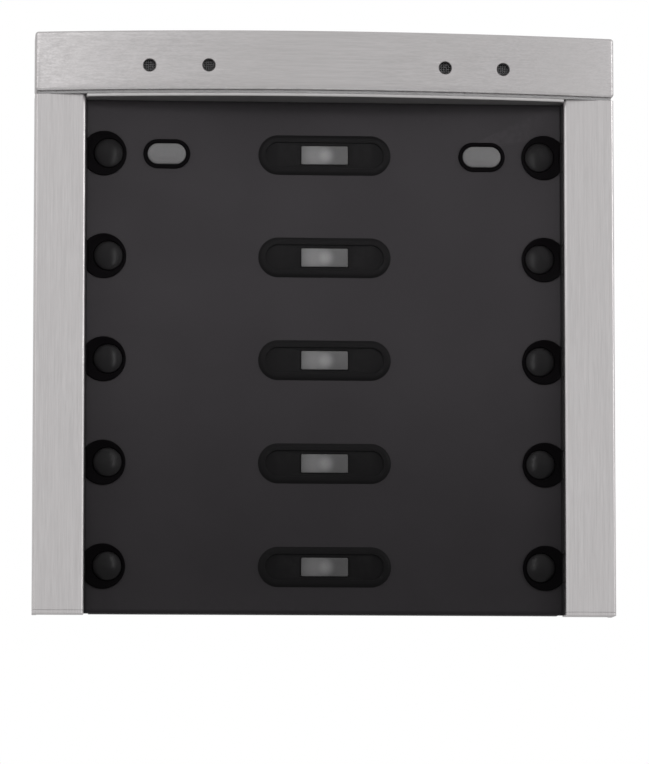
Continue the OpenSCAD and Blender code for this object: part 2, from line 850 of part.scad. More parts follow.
// One bezel on the right-hand side: a dished rim and a sleeve that the button slides in
module button_bezel(row) {
    dish_half = bezel_d / 2 - bezel_edge;
    dish_r = arc_radius(dish_half, bezel_dish);
    rim = plate_front + bezel_rim;
    difference() {
        union() {
            intersection() {
                peg(bezel_x, row_z(row), plate_front, rim, bezel_d / 2);
                slab(plate_front, rim)
                    rect(0, row_z(row) - bezel_d,
                         rail_inner - gasket_lip_t - fit_gap, row_z(row) + bezel_d);
            }
            peg(cap_x, row_z(row), sleeve_back, plate_front + eps, sleeve_r);
        }
        translate([bezel_x, -rim - dish_r + bezel_dish, row_z(row)]) sphere(dish_r, $fn = 200);
        peg(cap_x, row_z(row), sleeve_back - over, rim + over, cap_r + slide_gap);
    }
}

module right_button_bezels() {
    color("#0c0b0d") for (row = [1:rows]) button_bezel(row);
}

module left_button_bezels() {
    mirror([1, 0, 0]) right_button_bezels();
}

module call_button(side, row) {
    dome_r = arc_radius(cap_r, cap_dome);
    top = plate_front + cap_proud;
    color("#1b1a1c") translate([side * cap_x, 0, row_z(row)]) rotate([90, 0, 0])
        rotate_extrude() union() {
            rect(0, flange_back, sleeve_r - slide_gap, flange_front);
            rect(0, flange_back, cap_r, cap_shoulder);
            intersection() {
                translate([0, top - dome_r]) circle(dome_r, $fn = 144);
                rect(0, flange_front, cap_r, top + over);
            }
        }
}

module call_button_left_1() call_button(-1, 1);
module call_button_left_2() call_button(-1, 2);
module call_button_left_3() call_button(-1, 3);
module call_button_left_4() call_button(-1, 4);
module call_button_left_5() call_button(-1, 5);
module call_button_right_1() call_button(1, 1);
module call_button_right_2() call_button(1, 2);
module call_button_right_3() call_button(1, 3);
module call_button_right_4() call_button(1, 4);
module call_button_right_5() call_button(1, 5);

// ---- Name windows ----

module window_housing(row) {
    rim = plate_front + window_rim;
    step = housing_step + fit_gap;
    inset = 2 * (window_bevel + window_flat);
    guide_w = lens_w + 2 * (lens_flange + lens_gap);
    guide_h = lens_h + 2 * (lens_flange + lens_gap);
    color("#202022") translate([0, 0, row_z(row)]) difference() {
        union() {
            slab(plate_front, plate_front + window_edge) pill(window_l, window_h);
            mirror([0, 1, 0])
                pill_funnel(window_l, window_h, window_bevel, -rim, -plate_front - window_edge);
            slab(housing_back, plate_front + eps) pill(window_l - 2 * step, window_h - 2 * step);
            slab(board_front + light_gap, housing_back + eps)
                centred(guide_w + 2 * light_wall, guide_h + 2 * light_wall);
        }
        slab(window_floor, rim + over) pill(window_l - inset, window_h - inset);
        slab(housing_back, rim) centred(lens_w + 2 * lens_gap, lens_h + 2 * lens_gap);
        slab(board_front, housing_back + lens_flange_t) centred(guide_w, guide_h);
    }
}

module window_housing_1() window_housing(1);
module window_housing_2() window_housing(2);
module window_housing_3() window_housing(3);
module window_housing_4() window_housing(4);
module window_housing_5() window_housing(5);

module window_lens(row) {
    step = housing_back + lens_flange_t;
    color("#69686a") translate([0, 0, row_z(row)]) union() {
        slab(step - eps, window_floor + lens_rise) centred(lens_w, lens_h);
        slab(housing_back, step) centred(lens_w + 2 * lens_flange, lens_h + 2 * lens_flange);
    }
}

module window_lens_1() window_lens(1);
module window_lens_2() window_lens(2);
module window_lens_3() window_lens(3);
module window_lens_4() window_lens(4);
module window_lens_5() window_lens(5);

module name_cards() {
    color("ivory") for (row = [1:rows]) translate([0, 0, row_z(row)])
        slab(housing_back - card_t, housing_back)
            centred(lens_w + 2 * lens_flange, lens_h + 2 * lens_flange);
}

// ---- Service buttons ----

module service_bezel(side) {
    rim = plate_front + service_rise;
    bore_l = service_l + 2 * slide_gap;
    bore_h = service_h + 2 * slide_gap;
    color("#0c0b0d") translate([side * service_x, 0, row_z(rows)]) difference() {
        union() {
            slab(plate_front, rim) pill(service_l + 2 * service_rim, service_h + 2 * service_rim);
            slab(sleeve_back, plate_front + eps)
                pill(bore_l + 2 * service_wall, bore_h + 2 * service_wall);
        }
        slab(sleeve_back - over, rim + over) pill(bore_l, bore_h);
    }
}

module left_service_bezel() service_bezel(-1);
module right_service_bezel() service_bezel(1);

module service_button(side) {
    top = plate_front + service_proud;
    shoulder = top - service_chamfer;
    color("#696869") translate([side * service_x, 0, row_z(rows)]) union() {
        slab(flange_front - eps, shoulder) pill(service_l, service_h);
        slab(flange_back, flange_front)
            pill(service_l + 2 * service_wall, service_h + 2 * service_wall);
        mirror([0, 1, 0]) pill_funnel(service_l, service_h, service_chamfer, -top, -shoulder);
    }
}

module left_service_button() service_button(-1);
module right_service_button() service_button(1);

flush_box();
cable_grommet();
wall_seal();
chassis_frame();
rear_cover();
cover_screws();
box_screws();
frame_screws();
header_bar();
header_gasket();
top_trim_strip();
left_rail();
right_rail();
left_rail_end_cap();
right_rail_end_cap();
face_plate();
plate_pillars();
plate_gasket();
speaker_mesh();
microphone_mesh();
speech_carrier();
loudspeaker();
microphone_boot();
microphone_capsule();
main_board();
board_standoffs();
board_screws();
backlight_leds();
terminal_block();
left_keypad_mat();
right_keypad_mat();
left_button_bezels();
right_button_bezels();
call_button_left_1();
call_button_left_2();
call_button_left_3();
call_button_left_4();
call_button_left_5();
call_button_right_1();
call_button_right_2();
call_button_right_3();
call_button_right_4();
call_button_right_5();
window_housing_1();
window_housing_2();
window_housing_3();
window_housing_4();
window_housing_5();
window_lens_1();
window_lens_2();
window_lens_3();
window_lens_4();
window_lens_5();
name_cards();
left_service_bezel();
right_service_bezel();
left_service_button();
right_service_button();
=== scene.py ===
import json
import math

import bmesh
import bpy
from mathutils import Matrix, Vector

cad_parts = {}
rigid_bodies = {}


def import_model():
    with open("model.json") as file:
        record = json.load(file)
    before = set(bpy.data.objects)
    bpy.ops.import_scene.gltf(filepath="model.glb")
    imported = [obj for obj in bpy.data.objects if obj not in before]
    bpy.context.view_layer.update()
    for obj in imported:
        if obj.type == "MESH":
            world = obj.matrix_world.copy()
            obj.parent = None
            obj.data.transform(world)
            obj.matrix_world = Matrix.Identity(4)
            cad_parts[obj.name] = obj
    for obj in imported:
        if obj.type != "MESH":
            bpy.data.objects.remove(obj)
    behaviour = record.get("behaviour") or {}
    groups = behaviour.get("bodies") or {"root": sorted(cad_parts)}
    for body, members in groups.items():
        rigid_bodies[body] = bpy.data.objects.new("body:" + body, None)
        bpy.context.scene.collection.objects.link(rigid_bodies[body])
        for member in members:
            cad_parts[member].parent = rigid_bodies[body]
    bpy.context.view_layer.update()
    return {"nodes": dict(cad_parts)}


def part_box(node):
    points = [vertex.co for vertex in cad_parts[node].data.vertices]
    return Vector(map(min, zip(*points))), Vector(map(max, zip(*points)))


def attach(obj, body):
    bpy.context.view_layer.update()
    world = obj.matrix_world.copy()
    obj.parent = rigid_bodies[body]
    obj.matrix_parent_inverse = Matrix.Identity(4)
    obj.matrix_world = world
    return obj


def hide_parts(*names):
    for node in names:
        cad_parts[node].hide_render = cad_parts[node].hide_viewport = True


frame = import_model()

nodes = frame["nodes"]
mm = 0.001
sides = {"left": -1, "right": 1}
rows = range(1, 6)  # of call buttons and name windows
print("frame loaded with", len(nodes), "nodes")

# Camera: in front of the panel, a little to the left and below
cameraPlace = {"aim": (0.0, -0.050, -0.0237), "distance": 2.1, "azimuth": -4.45,
               "elevation": -5.85, "lens": 239.9}


def aimedRotation(place, target):
    return (Vector(target) - Vector(place)).to_track_quat("-Z", "Y").to_euler()


def makeCamera():
    azimuth = math.radians(cameraPlace["azimuth"])
    elevation = math.radians(cameraPlace["elevation"])
    back = Vector((math.sin(azimuth) * math.cos(elevation),
                   -math.cos(azimuth) * math.cos(elevation), math.sin(elevation)))
    aim = Vector(cameraPlace["aim"])
    data = bpy.data.cameras.new("panelCamera")
    data.lens = cameraPlace["lens"]
    data.sensor_width = 36
    data.clip_start, data.clip_end = 0.05, 20
    camera = bpy.data.objects.new("panelCamera", data)
    camera.location = aim + back * cameraPlace["distance"]
    camera.rotation_euler = aimedRotation(camera.location, aim)
    bpy.context.scene.collection.objects.link(camera)
    bpy.context.scene.camera = camera


makeCamera()
print("camera placed")


# Short ways to write node trees: values fill the inputs, and a socket among them is linked
def addNode(tree, kind, values=None, **settings):
    node = tree.nodes.new(kind)
    for key, value in settings.items():
        setattr(node, key, value)
    for key, value in (values or {}).items():
        if isinstance(value, bpy.types.NodeSocket):
            tree.links.new(value, node.inputs[key])
        else:
            node.inputs[key].default_value = value
    return node


def sums(tree, operation, first, second=0.0, clamp=False):
    return addNode(tree, "ShaderNodeMath", {0: first, 1: second}, operation=operation,
                   use_clamp=clamp).outputs[0]


def blendColours(tree, factor, first, second):
    return addNode(tree, "ShaderNodeMix", {0: factor, 6: first, 7: second},
                   data_type="RGBA").outputs[2]


def ranged(tree, value, low, high, newLow, newHigh):
    # Eases from newLow to newHigh while the value goes from low to high
    return addNode(tree, "ShaderNodeMapRange", {0: value, 1: low, 2: high, 3: newLow, 4: newHigh},
                   interpolation_type="SMOOTHSTEP").outputs[0]


def noise(tree, vector, scale, detail=2.0, rough=0.5):
    return addNode(tree, "ShaderNodeTexNoise", {"Vector": vector, "Scale": scale,
                                                "Detail": detail, "Roughness": rough}).outputs[0]


def stretched(tree, vector, scale):
    return addNode(tree, "ShaderNodeVectorMath", {0: vector, 1: scale},
                   operation="MULTIPLY").outputs[0]


def makeGroup(name, inputs, outputs):
    group = bpy.data.node_groups.new(name, "ShaderNodeTree")
    kinds = {"value": "NodeSocketFloat", "vector": "NodeSocketVector"}
    for label, kind, start in inputs:
        socket = group.interface.new_socket(name=label, in_out="INPUT", socket_type=kinds[kind])
        if start is not None:
            socket.default_value = start
    for label, kind in outputs:
        group.interface.new_socket(name=label, in_out="OUTPUT", socket_type=kinds[kind])
    given = group.nodes.new("NodeGroupInput").outputs
    return group, given, group.nodes.new("NodeGroupOutput").inputs


def useGroup(tree, group, values):
    return addNode(tree, "ShaderNodeGroup", values, node_tree=group).outputs


# The shared effects are node groups that each finish places with its own values
def makeBrushGrain():
    # Long fine scratches; Stretch draws the noise out along the brushing direction
    group, given, out = makeGroup(
        "brushGrain",
        [("Vector", "vector", None), ("Stretch", "vector", (0.02, 1.0, 1.0)),
         ("Fine Scale", "value", 5200.0), ("Broad Scale", "value", 900.0)],
        [("Streaks", "value"), ("Height", "value"), ("Cloud", "value")])
    along = stretched(group, given["Vector"], given["Stretch"])
    fine = noise(group, along, given["Fine Scale"], detail=3.0, rough=0.6)
    broad = noise(group, along, given["Broad Scale"], detail=2.0, rough=0.5)
    cloud = noise(group, given["Vector"], scale=18.0, detail=3.0, rough=0.55)
    mixed = sums(group, "ADD", sums(group, "MULTIPLY", fine, 0.6),
                 sums(group, "MULTIPLY", broad, 0.4))
    group.links.new(ranged(group, mixed, 0.32, 0.68, 0.0, 1.0), out["Streaks"])
    group.links.new(fine, out["Height"])
    group.links.new(cloud, out["Cloud"])
    return group


def makeEdgeWear():
    # Worn corners: 1 where the surface turns sharply outwards, broken up by noise
    group, given, out = makeGroup(
        "edgeWear", [("Vector", "vector", None), ("Start", "value", 0.53),
                     ("End", "value", 0.62), ("Breakup Scale", "value", 260.0)],
        [("Mask", "value")])
    sharp = addNode(group, "ShaderNodeNewGeometry").outputs["Pointiness"]
    broken = noise(group, given["Vector"], given["Breakup Scale"], detail=4.0, rough=0.6)
    edge = addNode(group, "ShaderNodeMapRange",
                   {0: sharp, 1: given["Start"], 2: given["End"]}).outputs[0]
    group.links.new(sums(group, "MULTIPLY", edge, ranged(group, broken, 0.3, 0.65, 0.2, 1.0)),
                    out["Mask"])
    return group


def makeFineTexture():
    # Spark-eroded mould texture or powder coat, with a slow variation of tone
    group, given, out = makeGroup(
        "fineTexture", [("Vector", "vector", None), ("Grain Scale", "value", 2600.0),
                        ("Cloud Scale", "value", 22.0)],
        [("Grain", "value"), ("Cloud", "value"), ("Height", "value")])
    grain = noise(group, given["Vector"], given["Grain Scale"], detail=3.0, rough=0.6)
    cells = addNode(group, "ShaderNodeTexVoronoi", {"Vector": given["Vector"],
                                                    "Scale": given["Grain Scale"]}).outputs[0]
    cloud = noise(group, given["Vector"], given["Cloud Scale"], detail=4.0, rough=0.55)
    group.links.new(grain, out["Grain"])
    group.links.new(cloud, out["Cloud"])
    group.links.new(sums(group, "ADD", sums(group, "MULTIPLY", grain, 0.7),
                         sums(group, "MULTIPLY", cells, 0.3)), out["Height"])
    return group


def makeSettledDust():
    # Dust lies on what faces up and thins out in patches
    group, given, out = makeGroup(
        "settledDust", [("Vector", "vector", None), ("Amount", "value", 0.3)], [("Mask", "value")])
    facing = addNode(group, "ShaderNodeSeparateXYZ",
                     {0: addNode(group, "ShaderNodeNewGeometry").outputs["Normal"]}).outputs[2]
    upward = ranged(group, facing, 0.2, 0.95, 0.0, 1.0)
    patchy = noise(group, given["Vector"], scale=90.0, detail=5.0, rough=0.65)
    patches = ranged(group, patchy, 0.35, 0.7, 0.3, 1.0)
    fine = noise(group, given["Vector"], scale=3200.0)
    specks = ranged(group, fine, 0.62, 0.72, 0.0, 0.25)
    lying = sums(group, "MULTIPLY", upward, patches)
    covered = sums(group, "ADD", lying, specks)
    group.links.new(sums(group, "MULTIPLY", covered, given["Amount"], True), out["Mask"])
    return group


def makeSpangle():
    # Zinc crystals: each cell has its own tone
    group, given, out = makeGroup(
        "zincSpangle", [("Vector", "vector", None), ("Crystal Scale", "value", 160.0)],
        [("Tone", "value"), ("Edge", "value")])
    waver = addNode(group, "ShaderNodeTexNoise", {"Vector": given["Vector"], "Scale": 300.0})
    warped = addNode(group, "ShaderNodeVectorMath", {
        0: given["Vector"], 1: stretched(group, waver.outputs[1], (0.004, 0.004, 0.004))},
        operation="ADD").outputs[0]
    cell = addNode(group, "ShaderNodeTexVoronoi", {"Vector": warped,
                                                   "Scale": given["Crystal Scale"]})
    border = addNode(group, "ShaderNodeTexVoronoi",
                     {"Vector": warped, "Scale": given["Crystal Scale"]},
                     feature="DISTANCE_TO_EDGE")
    tone = addNode(group, "ShaderNodeSeparateColor", {0: cell.outputs[1]}).outputs[0]
    group.links.new(tone, out["Tone"])
    group.links.new(border.outputs[0], out["Edge"])
    return group


dustOn = {"metal": (0.42, 0.41, 0.39, 1), "zinc": (0.36, 0.35, 0.33, 1),
          "plastic": (0.20, 0.19, 0.18, 1)}
brushGrain = makeBrushGrain()
edgeWear = makeEdgeWear()
fineTexture = makeFineTexture()
settledDust = makeSettledDust()
zincSpangle = makeSpangle()


def startMaterial(name, roughness, metallic=0.0, specular=0.5):
    material = bpy.data.materials.new(name)
    material.use_nodes = True
    tree = material.node_tree
    shader = tree.nodes["Principled BSDF"]
    shader.inputs["Roughness"].default_value = roughness
    shader.inputs["Metallic"].default_value = metallic
    shader.inputs["Specular IOR Level"].default_value = specular
    place = addNode(tree, "ShaderNodeTexCoord").outputs["Object"]
    return material, tree, shader, place


def bump(tree, shader, height, strength, distance):
    node = addNode(tree, "ShaderNodeBump", {"Height": height, "Strength": strength,
                                            "Distance": distance})
    tree.links.new(node.outputs[0], shader.inputs["Normal"])


edgeTint = (0.80, 0.79, 0.79, 1)  # keeps brushed metal from going white at a grazing angle


def brushedMetal(name, look):
    # Streaks between a dark and a light tone, a slow cloud of tint, bare worn corners and dust
    material, tree, shader, place = startMaterial(name, look["rough"], 1.0)
    shader.inputs["Specular Tint"].default_value = edgeTint
    grain = useGroup(tree, brushGrain, {"Vector": place, "Stretch": look["stretch"],
                                        "Broad Scale": look["broad"]})
    wear = useGroup(tree, edgeWear, {"Vector": place})["Mask"]
    dust = useGroup(tree, settledDust, {"Vector": place, "Amount": look["dust"]})["Mask"]
    metal = blendColours(tree, grain["Streaks"], look["dark"], look["light"])
    clouded = blendColours(tree, ranged(tree, grain["Cloud"], 0.35, 0.65, 0.0, look["cloud"]),
                           metal, look["tint"])
    rubbed = blendColours(tree, sums(tree, "MULTIPLY", wear, 0.5), clouded, look["bare"])
    dusty = blendColours(tree, dust, rubbed, dustOn["metal"])
    tree.links.new(dusty, shader.inputs["Base Color"])
    shine = ranged(tree, grain["Streaks"], 0.0, 1.0, look["rough"] + 0.06, look["rough"] - 0.05)
    tree.links.new(sums(tree, "SUBTRACT", shine, sums(tree, "MULTIPLY", wear, 0.08)),
                   shader.inputs["Roughness"])
    tree.links.new(sums(tree, "SUBTRACT", 1.0, dust), shader.inputs["Metallic"])
    bump(tree, shader, grain["Height"], look["bump"], distance=0.00004)
    return material


def texturedFinish(name, look):
    # Paint, plastic, rubber and foam: a base tone, a second tone, grain, worn edges and dust
    material, tree, shader, place = startMaterial(name, look["rough"], specular=look["specular"])
    grain = useGroup(tree, fineTexture, {"Vector": place, "Grain Scale": look["scale"]})
    wear = useGroup(tree, edgeWear, {"Vector": place, "Breakup Scale": 420.0})["Mask"]
    dust = useGroup(tree, settledDust, {"Vector": place, "Amount": look["dust"]})["Mask"]
    clouds = ranged(tree, grain["Cloud"], 0.3, 0.7, 0.0, 1.0)
    tone = blendColours(tree, clouds, look["colour"], look["second"])
    speckled = blendColours(tree, ranged(tree, grain["Grain"], 0.4, 0.75, 0.0, look["speckle"]),
                            tone, look["fleck"])
    rubbed = blendColours(tree, sums(tree, "MULTIPLY", wear, look["wear"]), speckled, look["worn"])
    dusty = blendColours(tree, dust, rubbed, dustOn["plastic"])
    tree.links.new(dusty, shader.inputs["Base Color"])
    gloss = ranged(tree, grain["Cloud"], 0.3, 0.7, look["rough"] - 0.04, look["rough"] + 0.05)
    tree.links.new(sums(tree, "ADD", gloss, sums(tree, "MULTIPLY", dust, 0.3), True),
                   shader.inputs["Roughness"])
    bump(tree, shader, grain["Height"], look["bump"], look["depth"])
    return material


def galvanised(name, look):
    # Zinc crystals in two tones, with stains, bare worn corners and dust
    material, tree, shader, place = startMaterial(name, look["rough"], 1.0)
    crystal = useGroup(tree, zincSpangle, {"Vector": place, "Crystal Scale": look["crystals"]})
    grain = useGroup(tree, fineTexture, {"Vector": place, "Grain Scale": 1500.0})
    wear = useGroup(tree, edgeWear, {"Vector": place})["Mask"]
    dust = useGroup(tree, settledDust, {"Vector": place, "Amount": 0.35})["Mask"]
    zinc = blendColours(tree, crystal["Tone"], look["dark"], look["light"])
    stained = blendColours(tree, ranged(tree, grain["Cloud"], 0.45, 0.75, 0.0, 0.5), zinc,
                           look["stain"])
    rubbed = blendColours(tree, sums(tree, "MULTIPLY", wear, 0.6), stained, look["bare"])
    tree.links.new(blendColours(tree, dust, rubbed, dustOn["zinc"]), shader.inputs["Base Color"])
    tree.links.new(ranged(tree, crystal["Tone"], 0.0, 1.0, look["rough"] - 0.08,
                          look["rough"] + 0.1), shader.inputs["Roughness"])
    bump(tree, shader, sums(tree, "ADD", grain["Grain"], crystal["Edge"]), strength=0.25,
         distance=0.00008)
    return material


def lensWithPaintedGlow(name, look):
    # Smoked, frosted lens; the glow of two soft lamps behind it is painted into its colour
    material, tree, shader, place = startMaterial(name, look["rough"], specular=look["specular"])
    share = addNode(tree, "ShaderNodeTexCoord").outputs["Generated"]  # 0 to 1 over the lens
    glow = None
    # Each lamp behind the lens adds a painted glow: a lighter spot in the colour, not light
    for lamp in look["lamps"]:
        offset = addNode(tree, "ShaderNodeVectorMath", {0: share, 1: (lamp["x"], 0.5, 0.5)},
                         operation="SUBTRACT").outputs[0]
        reach = addNode(tree, "ShaderNodeVectorMath",
                        {0: stretched(tree, offset, look["size"])},
                        operation="LENGTH").outputs[1]
        spot = sums(tree, "MULTIPLY", ranged(tree, reach, lamp["reach"], look["core"], 0.0, 1.0),
                    lamp["strength"])
        glow = spot if glow is None else sums(tree, "ADD", glow, spot, True)
    grain = useGroup(tree, fineTexture, {"Vector": place, "Grain Scale": 1800.0,
                                         "Cloud Scale": 120.0})
    wear = useGroup(tree, edgeWear, {"Vector": place})["Mask"]
    body = blendColours(tree, ranged(tree, grain["Cloud"], 0.3, 0.7, 0.0, 1.0), look["colour"],
                        look["second"])
    # Painted glow: the colour turns lighter where the lamps behind would shine through
    paintedGlowColour = blendColours(tree, glow, body, look["glow"])
    dotted = blendColours(tree, ranged(tree, grain["Grain"], 0.45, 0.7, 0.0, 0.2), paintedGlowColour,
                          look["fleck"])
    tree.links.new(blendColours(tree, sums(tree, "MULTIPLY", wear, 0.3), dotted, look["glow"]),
                   shader.inputs["Base Color"])
    shader.inputs["Coat Weight"].default_value = look["coat"]
    shader.inputs["Coat Roughness"].default_value = 0.25
    bump(tree, shader, grain["Height"], strength=0.2, distance=0.00004)
    return material


def circuitBoard(name, look):
    # Green solder mask over tracks, with the glass weave showing through
    material, tree, shader, place = startMaterial(name, look["rough"])
    tracks = addNode(tree, "ShaderNodeTexBrick",
                     {"Vector": place, "Color1": look["mask"], "Color2": look["maskLight"],
                      "Mortar": look["copper"], "Scale": 90.0, "Mortar Size": 0.03,
                      "Bias": -0.3}, offset=0.37).outputs[0]
    grain = useGroup(tree, fineTexture, {"Vector": place, "Grain Scale": 1400.0})
    weave = blendColours(tree, ranged(tree, grain["Grain"], 0.4, 0.7, 0.0, 0.25), tracks,
                         look["maskDark"])
    tree.links.new(weave, shader.inputs["Base Color"])
    bump(tree, shader, grain["Height"], strength=0.2, distance=0.00005)
    return material


metalLooks = {
    "brushed_header": {"dark": (0.398, 0.384, 0.386, 1), "light": (0.482, 0.466, 0.469, 1),
                       "tint": (0.440, 0.426, 0.424, 1), "bare": (0.636, 0.625, 0.625, 1),
                       "rough": 0.36, "stretch": (0.02, 1, 1), "broad": 1300.0, "cloud": 0.4,
                       "dust": 0.05, "bump": 0.25},
    "brushed_rail": {"dark": (0.456, 0.441, 0.443, 1), "light": (0.546, 0.529, 0.531, 1),
                     "tint": (0.500, 0.483, 0.483, 1), "bare": (0.540, 0.523, 0.525, 1),
                     "rough": 0.36, "stretch": (1, 1, 0.02), "broad": 1300.0, "cloud": 0.4,
                     "dust": 0.05, "bump": 0.25},
    "brushed_trim": {"dark": (0.438, 0.425, 0.425, 1), "light": (0.529, 0.517, 0.517, 1),
                     "tint": (0.483, 0.471, 0.471, 1), "bare": (0.633, 0.633, 0.633, 1),
                     "rough": 0.48, "stretch": (0.02, 1, 1), "broad": 1500.0, "cloud": 0.3,
                     "dust": 0.05, "bump": 0.2},
    "zinc_screws": {"dark": (0.50, 0.49, 0.46, 1), "light": (0.64, 0.62, 0.58, 1),
                    "tint": (0.58, 0.55, 0.47, 1), "bare": (0.78, 0.77, 0.75, 1),
                    "rough": 0.30, "stretch": (1, 0.1, 1), "broad": 1800.0, "cloud": 0.5,
                    "dust": 0.1, "bump": 0.2},
    "brass_pillars": {"dark": (0.55, 0.38, 0.16, 1), "light": (0.72, 0.53, 0.26, 1),
                      "tint": (0.58, 0.40, 0.20, 1), "bare": (0.82, 0.66, 0.38, 1),
                      "rough": 0.28, "stretch": (1, 0.05, 1), "broad": 1600.0, "cloud": 0.4,
                      "dust": 0.1, "bump": 0.2},
    "nickel_capsule": {"dark": (0.56, 0.55, 0.52, 1), "light": (0.68, 0.67, 0.64, 1),
                       "tint": (0.60, 0.58, 0.54, 1), "bare": (0.80, 0.79, 0.77, 1),
                       "rough": 0.24, "stretch": (1, 0.05, 1), "broad": 1600.0, "cloud": 0.3,
                       "dust": 0.1, "bump": 0.15},
}


def plainLook(colour, second, rough, specular, scale=2600.0, bumpStrength=0.25, depth=0.00004,
              dust=0.12, speckle=0.25, fleck=None, wear=0.25, worn=None):
    lighter = tuple(min(1.0, c * 1.5 + 0.01) for c in colour)
    return {"colour": (*colour, 1), "second": (*second, 1), "rough": rough, "specular": specular,
            "scale": scale, "bump": bumpStrength, "depth": depth, "dust": dust,
            "speckle": speckle, "fleck": (*(fleck or lighter), 1), "wear": wear,
            "worn": (*(worn or lighter), 1)}


plainLooks = {
    "charcoal_plate": plainLook((0.0252, 0.0232, 0.0252), (0.0228, 0.0210, 0.0228), 0.55, 0.05,
                                scale=3200.0, bumpStrength=0.35, dust=0.06),
    "black_bezel": plainLook((0.0014, 0.0011, 0.0014), (0.0019, 0.0016, 0.0019), 0.40, 0.015,
                             dust=0.01, speckle=0.1, fleck=(0.003, 0.003, 0.003),
                             worn=(0.006, 0.006, 0.006)),
    "black_button": plainLook((0.0049, 0.0046, 0.0050), (0.0058, 0.0054, 0.0058), 0.35, 0.10,
                              dust=0.01, speckle=0.12, fleck=(0.0072, 0.0072, 0.0072)),
    "window_black": plainLook((0.0047, 0.0045, 0.0048), (0.0055, 0.0051, 0.0055), 0.45, 0.05,
                              dust=0.01, fleck=(0.0073, 0.0073, 0.0073)),
    "grey_button": plainLook((0.0880, 0.0862, 0.0880), (0.0986, 0.0968, 0.0986), 0.50, 0.15,
                             dust=0.03),
    "black_rubber": plainLook((0.0108, 0.0101, 0.0108), (0.0144, 0.0134, 0.0144), 0.75, 0.10,
                              scale=1700.0, dust=0.05),
    "joint_seal": plainLook((0.1984, 0.1948, 0.1967), (0.2255, 0.2210, 0.2228), 0.80, 0.10,
                            scale=1700.0, dust=0.05),
    "black_mesh": plainLook((0.065, 0.064, 0.066), (0.080, 0.079, 0.081), 0.45, 0.30, dust=0.08),
    "foam_seal": plainLook((0.030, 0.029, 0.029), (0.045, 0.043, 0.042), 0.95, 0.05,
                           scale=1400.0, bumpStrength=0.8, depth=0.00025, speckle=0.6),
    "cover_plastic": plainLook((0.030, 0.032, 0.034), (0.036, 0.038, 0.040), 0.55, 0.30,
                               scale=1900.0, bumpStrength=0.35),
    "speaker_frame": plainLook((0.025, 0.025, 0.027), (0.034, 0.034, 0.036), 0.60, 0.30,
                               scale=900.0, bumpStrength=0.3),
    "led_white": plainLook((0.72, 0.72, 0.66), (0.80, 0.79, 0.70), 0.35, 0.5, dust=0.02),
    "terminal_green": plainLook((0.020, 0.150, 0.060), (0.026, 0.180, 0.075), 0.42, 0.45),
    "grey_silicone": plainLook((0.22, 0.22, 0.225), (0.26, 0.26, 0.265), 0.68, 0.35,
                               scale=1500.0),
    "name_card": plainLook((0.66, 0.65, 0.60), (0.72, 0.71, 0.67), 0.85, 0.15, scale=1100.0,
                           bumpStrength=0.3),
}

# A lamp's reach is where its painted glow ends, and core is where it is full, in millimetres
lensLook = {"colour": (0.062, 0.061, 0.062, 1), "second": (0.070, 0.069, 0.070, 1),
            "glow": (0.166, 0.164, 0.166, 1), "fleck": (0.088, 0.087, 0.088, 1), "rough": 0.45,
            "specular": 0.1, "coat": 0.03, "core": 0.4,
            "size": (17.37, 0.0, 7.7),  # the lens across and up, as the glow is measured
            "lamps": [{"x": 0.30, "reach": 6.5, "strength": 0.55},
                      {"x": 0.53, "reach": 3.5, "strength": 0.72}]}
boardLook = {"mask": (0.012, 0.090, 0.034, 1), "maskLight": (0.018, 0.115, 0.045, 1),
             "maskDark": (0.008, 0.060, 0.024, 1), "copper": (0.07, 0.20, 0.06, 1),
             "rough": 0.38}
boxLook = {"dark": (0.40, 0.41, 0.43, 1), "light": (0.62, 0.63, 0.65, 1),
           "stain": (0.46, 0.45, 0.43, 1), "bare": (0.72, 0.73, 0.75, 1), "rough": 0.42,
           "crystals": 190.0}
sheetLook = {"dark": (0.48, 0.48, 0.49, 1), "light": (0.60, 0.60, 0.61, 1),
             "stain": (0.52, 0.49, 0.42, 1), "bare": (0.72, 0.73, 0.75, 1), "rough": 0.36,
             "crystals": 420.0}

finishes = {slot: brushedMetal(slot + "Finish", look) for slot, look in metalLooks.items()}
finishes.update({slot: texturedFinish(slot + "Finish", look) for slot, look in plainLooks.items()})
# The lens's glow is painted into its colour
finishes["smoked_lens"] = lensWithPaintedGlow("smokedLensFinish", lensLook)
finishes["board_laminate"] = circuitBoard("boardLaminateFinish", boardLook)
finishes["galvanised_box"] = galvanised("galvanisedBoxFinish", boxLook)
finishes["zinc_sheet"] = galvanised("zincSheetFinish", sheetLook)
print("finishes made:", len(finishes))

# Every CAD node gets its finish; pieces that replace one take it by the same slot
slotOf = {}
for nodeName, cadObject in nodes.items():
    for holder in cadObject.material_slots:
        slotOf[nodeName] = holder.material.name.split(".")[0]
        holder.material = finishes[slotOf[nodeName]]


# Sizes are in millimetres from here on, and d is the distance in front of the wall's plane
def point(x, d, z):
    return Vector((x * mm, -d * mm, z * mm))


def depthOf(node):
    low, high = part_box(node)
    return -high.y / mm, -low.y / mm  # back and front


def centreOf(node):
    low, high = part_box(node)
    return (low.x + high.x) / 2 / mm, (low.z + high.z) / 2 / mm


# Angles in degrees: sharper corners than fromAngle are rounded, and what bends less than
# flatWithin is one flat face
softEdges = {"segments": 2, "fromAngle": 32, "smoothAngle": 38, "copyAngle": 50, "flatWithin": 0.4}
edgeWidths = {"trim": 0.55, "rails": 0.22, "plate": 0.12, "serviceBezels": 0.2, "box": 0.5,
              "cover": 0.4, "chassis": 0.2, "grommet": 0.3}
arcMiddle = 0.3  # share of a small rounding's radius at which its middle ring lies


def meshObject(name, bm):
    mesh = bpy.data.meshes.new(name)
    bm.to_mesh(mesh)
    bm.free()
    made = bpy.data.objects.new(name, mesh)
    bpy.context.scene.collection.objects.link(made)
    return made


